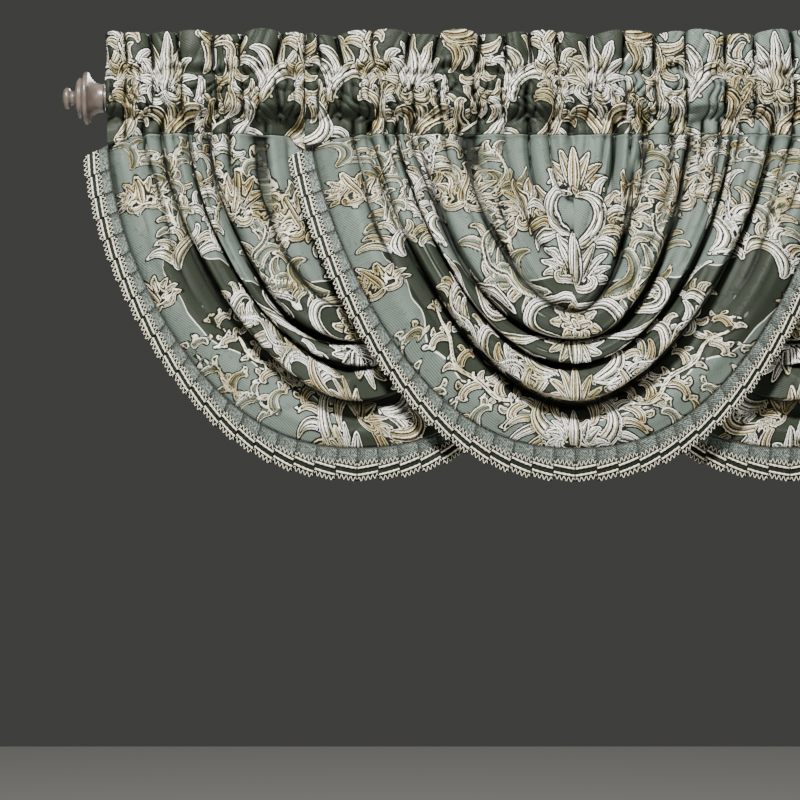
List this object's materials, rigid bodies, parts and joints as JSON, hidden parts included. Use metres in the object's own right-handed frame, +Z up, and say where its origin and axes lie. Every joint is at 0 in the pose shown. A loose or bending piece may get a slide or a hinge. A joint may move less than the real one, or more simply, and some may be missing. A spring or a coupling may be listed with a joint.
{
  "type": "waterfall valances with curtain rod",
  "caption": "Overlapping waterfall valances gathered on a curtain rod with turned finials, each drape edged with pleated trim and braid.",
  "frame": {"origin": "on the rod's axis, half way along the rod", "axes": "+X along the rod to the right as seen from the room, -Y out of the front of the cloth, +Z up"},
  "size_m": [1.2138, 0.1027, 0.5379],
  "materials": {
    "rod_metal": "antique pewter, satin",
    "damask": "woven sage and dark green damask with cream and gold figures",
    "trim": "sage twill, knife pleated",
    "braid": "cream cords with a dark green stripe and zigzag edges"
  },
  "bodies": {
    "root": {"rod": "rod_metal", "finial_left": "rod_metal", "finial_right": "rod_metal", "header_left": "damask", "header_centre": "damask", "header_right": "damask", "swag_left": "damask", "swag_centre": "damask", "swag_right": "damask", "band_left": "trim", "band_centre": "trim", "band_right": "trim", "braid_left": "braid", "braid_centre": "braid", "braid_right": "braid"}
  },
  "joints": []
}
